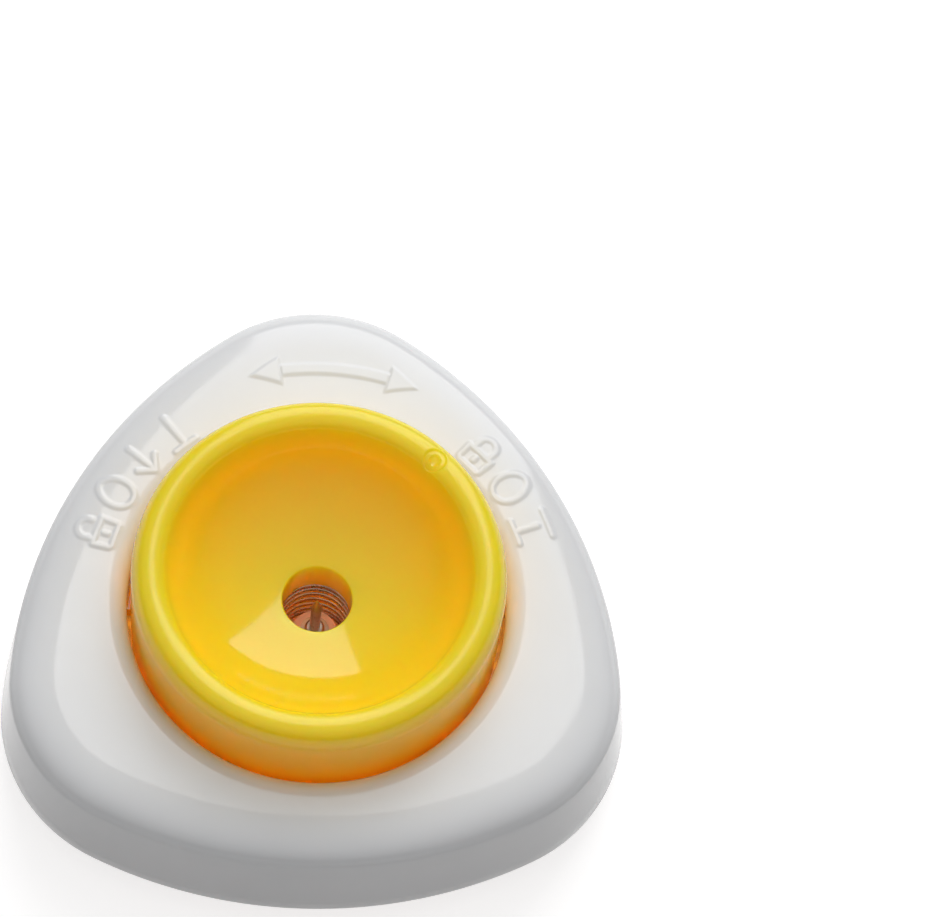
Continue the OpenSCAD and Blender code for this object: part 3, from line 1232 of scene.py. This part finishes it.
@dataclass(frozen=True)
class IndexMark:
    """Round flat sunk into the rim, with a dimple in its middle."""

    angle: float = 46.0
    radius: float = 18.75
    flat_r: float = 1.3
    flat_depth: float = 0.3
    dimple_r: float = 0.68
    dimple_depth: float = 0.3
    edge: float = 0.13

    def depth(self, points: np.ndarray) -> np.ndarray:
        """How deep the mark is sunk.

        Args:
            points: Points of the rim, shaped (rows, columns, 3).

        Returns:
            The depth at each point.
        """
        angle = math.radians(self.angle)
        x, y = self.radius * math.cos(angle), self.radius * math.sin(angle)
        away = np.hypot(points[..., 0] - x, points[..., 1] - y)
        flat = smooth_step(self.flat_r + self.edge, self.flat_r - self.edge, away)
        bowl = np.sqrt(np.clip(1 - (away / self.dimple_r) ** 2, 0.0, 1.0))
        return self.flat_depth * flat + self.dimple_depth * bowl


@dataclass(frozen=True)
class EggCup:
    """Yellow cup: a dish with a hole in its middle, a rounded rim, a skirt and three lugs."""

    outer_r: float = 21.25
    rim_z: float = 26.8
    crest_r: float = 19.1
    rim_round_h: float = 3.0
    rim_in_r: float = 2.0
    crest_pulls: Pair = (1.2, 1.6)
    flank_pulls: Pair = (0.7, 1.5)
    rim_steps: int = 32
    dish_slope: float = 68.0
    dish_a: float = 17.79
    dish_b: float = 11.19
    dish_z: float = 28.31
    dish_t: float = 2.0
    dish_steps: int = 56
    under_steps: int = 20
    skirt_in_r: float = 19.45
    skirt_z: float = 9.25
    skirt_bevel: float = 0.2
    skirt_fillet: float = 0.4
    skirt_steps: int = 12
    hole_r: float = 4.0
    hole_round: float = 0.22
    tube_r: float = 5.25
    tube_z: float = 12.0
    tube_bevel: float = 0.15
    seat_rim_h: float = 0.6
    seat_rim_t: float = 0.35
    lug_radii: Pair = (20.35, 23.45)
    lug_heights: Pair = (9.65, 11.65)
    lug_start: float = 34.0
    lug_span: float = 24.0
    plain_step: float = 1.5
    fine_step: float = 0.24
    fine_reach: float = 5.0
    sharp_angle: float = 40.0
    mark: IndexMark = IndexMark()

    def columns(self) -> np.ndarray:
        """Angles of the columns, closer together at the mark.

        Returns:
            The angles in radians.
        """
        low, high = self.mark.angle - self.fine_reach, self.mark.angle + self.fine_reach
        fine = np.arange(low, high, self.fine_step)
        count = int((360.0 - 2 * self.fine_reach) / self.plain_step)
        plain = np.linspace(high, low + 360.0, count, endpoint=False)
        return np.radians(np.concatenate([fine, plain]))

    @property
    def skirt_top(self) -> float:
        """Height where the skirt ends and the rim starts."""
        return self.rim_z - self.rim_round_h

    def ellipse(self, grow: float, start_r: float, end_r: float, steps: int) -> Profile:
        """Points up the dish's ellipse.

        Args:
            grow: How much larger both half axes are.
            start_r: First radius.
            end_r: Last radius.
            steps: Number of steps between the two.

        Returns:
            The points, both ends included.
        """
        a, b = self.dish_a + grow, self.dish_b + grow
        turns = np.linspace(math.asin(start_r / a), math.asin(end_r / a), steps + 1)
        return [(a * math.sin(t), self.dish_z - b * math.cos(t)) for t in turns]

    def upper(self) -> Profile:
        """Profile from the edge of the hole up the dish and over the rim to the skirt.

        Returns:
            Radius and height of each row.
        """
        slope = math.radians(self.dish_slope)
        dish_end = self.crest_r - self.rim_in_r * math.sin(slope)
        round_r = self.hole_round
        edge_r = self.hole_r + round_r
        dish = self.ellipse(0.0, edge_r, dish_end, self.dish_steps)
        edge = arc((edge_r, dish[0][1] - round_r), (round_r, round_r), 180.0, 100.0, steps=4)
        crest = (self.crest_r, self.rim_z)
        foot = (dish_end, self.rim_z - self.rim_in_r * (1 - math.cos(slope)))
        pull = self.flank_pulls[0]
        inner = [
            foot,
            (foot[0] + pull * math.cos(slope), foot[1] + pull * math.sin(slope)),
            (crest[0] - self.crest_pulls[0], crest[1]),
            crest,
        ]
        outer = [
            crest,
            (crest[0] + self.crest_pulls[1], crest[1]),
            (self.outer_r, self.skirt_top + self.flank_pulls[1]),
            (self.outer_r, self.skirt_top),
        ]
        rim = curve(inner, self.rim_steps)[1:] + curve(outer, self.rim_steps)[1:]
        return edge + dish + rim

    def lower(self) -> Profile:
        """Profile down the skirt, up inside it, along the dish's underside and down the tube.

        Returns:
            Radius and height of each row.
        """
        outer_r, top, bevel = self.outer_r, self.skirt_top, self.skirt_bevel
        under_r = (self.dish_a + self.dish_t) * math.sqrt(
            1 - ((self.dish_z - top) / (self.dish_b + self.dish_t)) ** 2
        )
        skirt = line((outer_r, top), (outer_r, self.skirt_z + bevel), self.skirt_steps)[1:]
        skirt += [
            (outer_r - bevel, self.skirt_z),
            (self.skirt_in_r, self.skirt_z),
            (self.skirt_in_r, top - self.skirt_fillet),
        ]
        under = self.ellipse(self.dish_t, under_r, self.tube_r, self.under_steps)
        seat_r, end_z = self.tube_r - self.seat_rim_t, self.tube_z - self.seat_rim_h
        tube = [
            (self.tube_r, end_z),
            (seat_r, end_z),
            (seat_r, self.tube_z),
            (self.hole_r + self.tube_bevel, self.tube_z),
            (self.hole_r, self.tube_z + self.tube_bevel),
        ]
        return skirt + under + tube

    def build(self) -> Piece:
        """Builds the cup with its lugs and its index mark.

        Returns:
            The finished piece.
        """
        angles = self.columns()
        upper = turned(self.upper(), angles)
        upper[..., 2] -= self.mark.depth(upper)
        skin = np.concatenate([upper, turned(self.lower(), angles)])
        piece = make_piece("egg_cup", skin, ring=True)
        for number in range(CORNERS):
            start = self.lug_start + PITCH * number
            lug = arc_block(self.lug_radii, self.lug_heights, start, self.lug_span)
            combine(piece, lug, Join.ADD)
        shade(piece, self.sharp_angle)
        dress(piece, YELLOW_PLASTIC)
        settle(piece, Body.CUP, Slot.YELLOW, "cup")
        return piece


@dataclass(frozen=True)
class LiftSpring:
    """Spring that lifts the cup, wound closer towards both ends."""

    wire_d: float = 0.55
    coil_r: float = 4.3
    turns: float = 6.5
    end_winding: float = 0.2
    low_z: float = 3.225
    length: float = 8.35
    seat_z: float = 2.8
    travel: float = 5.0
    rings_a_turn: int = 48
    sides: int = 14
    sharp_angle: float = 50.0

    def build(self) -> Piece:
        """Builds the spring as one swept wire.

        Returns:
            The finished piece.
        """
        share = np.linspace(0.0, 1.0, int(self.turns * self.rings_a_turn) + 1)
        angle = share * self.turns * 2 * math.pi
        climb = share - self.end_winding * np.sin(2 * math.pi * share) / (2 * math.pi)
        height = self.low_z + self.length * climb
        x, y = self.coil_r * np.cos(angle), self.coil_r * np.sin(angle)
        centre = np.stack([x, y, height], axis=-1)
        along = np.gradient(centre, axis=0)
        along /= np.linalg.norm(along, axis=1, keepdims=True)
        out = np.stack([np.cos(angle), np.sin(angle), np.zeros_like(angle)], axis=-1)
        up = np.cross(along, out) * -1.0
        turn = whole_turn(self.sides)
        across, over = np.cos(turn)[None, :, None], np.sin(turn)[None, :, None]
        section = across * out[:, None] + over * up[:, None]
        piece = make_piece("lift_spring", centre[:, None] + section * self.wire_d / 2, ring=False)
        shade(piece, self.sharp_angle)
        dress(piece, SPRING_STEEL)
        settle(piece, Body.COIL, Slot.SPRING, "spring")
        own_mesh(piece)
        return piece


@dataclass(frozen=True)
class PinAndCollar:
    """Ground pin and the turned collar that holds it, kept as the frame's own solids."""

    pin_node: str = "piercing_pin"
    collar_node: str = "pin_collar"

    def dress(self, frame: dict) -> None:
        """Gives both their steel.
        """
        for node, finish, slot in (
            (self.pin_node, PIN_STEEL, Slot.PIN),
            (self.collar_node, COLLAR_STEEL, Slot.COLLAR),
        ):
            piece = frame["nodes"][node]
            dress(piece, finish)
            log.info("%s dressed", node)


# The studio


@dataclass(frozen=True)
class GlowRing:
    """Ring of faint warm lamps that moves with the cup.

    Light that the translucent cup passes on to its own inside and to what is close to it is not
    followed by the renderer, so these lamps stand for it. A ring that is not blocked shines through
    the cup's walls.
    """

    name: str
    lamps: int
    radius: float
    height: float
    aim: Aim
    cone: float
    power: float
    colour: Colour
    size: float = 1.5
    fade: float = 0.6
    blocked: bool = True

    def build(self) -> None:
        """Places the lamps."""
        for number, angle in enumerate(whole_turn(self.lamps)):
            data = bpy.data.lights.new(f"{self.name}_{number + 1}", "SPOT")
            data.energy = self.power
            data.color = self.colour
            data.shadow_soft_size = self.size * MM
            data.spot_size = math.radians(self.cone)
            data.spot_blend = self.fade
            data.use_shadow = self.blocked
            lamp = bpy.data.objects.new(data.name, data)
            place = (self.radius * math.cos(angle), self.radius * math.sin(angle), self.height)
            lamp.location = Vector(place) * MM
            lamp.rotation_euler = (math.radians(self.aim.value), 0.0, angle - math.pi / 2)
            bpy.context.scene.collection.objects.link(lamp)
            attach(lamp, Body.CUP.value)


SKIRT_GLOW = GlowRing(
    name="skirt_glow",
    lamps=12,
    radius=12.0,
    height=13.0,
    aim=Aim.OUT,
    cone=110.0,
    power=0.0018,
    colour=(1.0, 0.13, 0.03),
)
RIM_GLOW = GlowRing(
    name="rim_glow",
    lamps=36,
    radius=18.0,
    height=20.8,
    aim=Aim.UP,
    cone=170.0,
    power=0.00012,
    colour=(1.0, 0.38, 0.03),
)
HOLE_GLOW = GlowRing(
    name="hole_glow",
    lamps=6,
    radius=2.2,
    height=10.5,
    aim=Aim.DOWN,
    cone=150.0,
    power=0.000015,
    colour=(1.0, 0.3, 0.03),
    size=0.5,
)
LIP_GLOW = GlowRing(
    name="lip_glow",
    lamps=60,
    radius=20.0,
    height=19.5,
    aim=Aim.DOWN,
    cone=172.0,
    power=0.000065,
    colour=(1.0, 0.3, 0.03),
    size=0.5,
    blocked=False,
)
GAP_GLOW = GlowRing(
    name="gap_glow",
    lamps=60,
    radius=22.0,
    height=7.0,
    aim=Aim.DOWN,
    cone=60.0,
    power=0.00013,
    colour=(1.0, 0.36, 0.03),
    size=0.5,
)


@dataclass(frozen=True)
class Studio:
    """Pale floor, one large soft lamp behind the object, faint fill and the camera."""

    camera_azimuth: float = -8.79
    camera_elevation: float = 65.25
    camera_distance: float = 529.51
    camera_roll: float = 9.01
    camera_target: Triple = (17.32, 20.85, 11.0)
    focal_pixels: float = 4500.0
    lamp_distance: float = 1.0
    lamp_across: Pair = (-0.25, 0.8)
    lamp_heights: Pair = (0.375, 2.85)
    lamp_radiance: float = 3.13
    sky_start: float = 0.25
    sky_levels: Pair = (0.02, 0.75)
    sweep_fade: Pair = (0.103, 0.125)
    floor_grey: float = 0.52
    floor_shine: float = 0.7
    floor_size: float = 2.0
    glow_rings: tuple[GlowRing, ...] = (SKIRT_GLOW, RIM_GLOW, HOLE_GLOW, LIP_GLOW, GAP_GLOW)

    def seen(self, sheet: NodeSheet) -> Socket:
        """Socket that is 1 for camera, glossy and transmission rays.

        Args:
            sheet: The node tree that it goes into.

        Returns:
            The socket.
        """
        rays = sheet.add("ShaderNodeLightPath").outputs
        seen = sheet.operate("MAXIMUM", rays["Is Camera Ray"], rays["Is Glossy Ray"])
        return sheet.operate("MAXIMUM", seen, rays["Is Transmission Ray"])

    def floor(self) -> None:
        """Lays the floor."""
        half = self.floor_size / 2
        mesh = bpy.data.meshes.new("studio_floor")
        corners = [(-half, -half, 0), (half, -half, 0), (half, half, 0), (-half, half, 0)]
        mesh.from_pydata(corners, [], [(0, 1, 2, 3)])
        floor = bpy.data.objects.new("studio_floor", mesh)
        bpy.context.scene.collection.objects.link(floor)
        made, sheet = new_material("studio_floor")
        made.node_tree.nodes.remove(made.node_tree.nodes["Principled BSDF"])
        paint = sheet.add("ShaderNodeBsdfDiffuse", Color=(self.floor_grey,) * 3 + (1.0,))
        shine = sheet.add("ShaderNodeEmission", Color=WHITE_LIGHT)
        level = sheet.operate("MULTIPLY", self.seen(sheet), self.floor_shine)
        both = sheet.add("ShaderNodeAddShader")
        sheet.join(level, shine.inputs["Strength"])
        sheet.join(paint.outputs[0], both.inputs[0])
        sheet.join(shine.outputs[0], both.inputs[1])
        sheet.join(both.outputs[0], made.node_tree.nodes["Material Output"].inputs["Surface"])
        mesh.materials.append(made)

    def world(self) -> None:
        """Sets a soft sky, brightest overhead, and a white sweep low down where it is seen."""
        world = bpy.data.worlds.new("studio")
        world.use_nodes = True
        bpy.context.scene.world = world
        sheet = NodeSheet(world.node_tree)
        back = world.node_tree.nodes["Background"]
        back.inputs["Color"].default_value = WHITE_LIGHT
        height = sheet.height("Generated")
        sky = sheet.spread(height, (self.sky_start, 1.0), self.sky_levels)
        sweep = sheet.spread(height, self.sweep_fade, (1.0, 0.0))
        both = sheet.operate("MULTIPLY_ADD", self.seen(sheet), sweep, sky)
        sheet.join(both, back.inputs["Strength"])

    def lamp(self) -> None:
        """Stands the large soft lamp upright behind the object, like a window."""
        (left, right), (low, high) = self.lamp_across, self.lamp_heights
        data = bpy.data.lights.new("soft_lamp", "AREA")
        data.shape = "RECTANGLE"
        data.size, data.size_y = right - left, high - low
        data.energy = self.lamp_radiance * math.pi * data.size * data.size_y
        lamp = bpy.data.objects.new("soft_lamp", data)
        lamp.location = ((left + right) / 2, self.lamp_distance, (low + high) / 2)
        lamp.rotation_euler = (-math.pi / 2, 0.0, 0.0)
        bpy.context.scene.collection.objects.link(lamp)

    def camera(self) -> None:
        """Sets the camera at the photograph's viewing angle."""
        azimuth, roll = math.radians(self.camera_azimuth), math.radians(self.camera_roll)
        elevation = math.radians(self.camera_elevation)
        flat = math.cos(elevation)
        back = Vector((math.sin(azimuth) * flat, -math.cos(azimuth) * flat, math.sin(elevation)))
        level = Vector((math.cos(azimuth), math.sin(azimuth), 0.0))
        rise = back.cross(level)
        right = level * math.cos(roll) + rise * math.sin(roll)
        up = rise * math.cos(roll) - level * math.sin(roll)
        place = (Vector(self.camera_target) + back * self.camera_distance) * MM
        data = bpy.data.cameras.new("camera")
        data.sensor_width = SENSOR_WIDTH
        data.lens = self.focal_pixels / IMAGE_WIDTH * SENSOR_WIDTH
        data.clip_start, data.clip_end = CLIP_RANGE
        camera = bpy.data.objects.new("camera", data)
        camera.matrix_world = Matrix((right, up, back)).transposed().to_4x4()
        camera.location = place
        bpy.context.scene.collection.objects.link(camera)
        bpy.context.scene.camera = camera

    def build(self) -> None:
        """Builds the whole studio."""
        bpy.context.scene.view_settings.view_transform = "Standard"
        self.floor()
        self.world()
        self.lamp()
        for ring in self.glow_rings:
            ring.build()
        self.camera()


def main() -> None:
    """Builds the pieces in order, then the studio."""
    logging.basicConfig(level=logging.INFO, format="%(name)s: %(message)s")
    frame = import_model()
    Studio().build()
    Housing().build()
    BaseTray().build()
    BaseScrews().build()
    EggCup().build()
    LiftSpring().build()
    PinAndCollar().dress(frame)


if __name__ == "__main__":
    main()
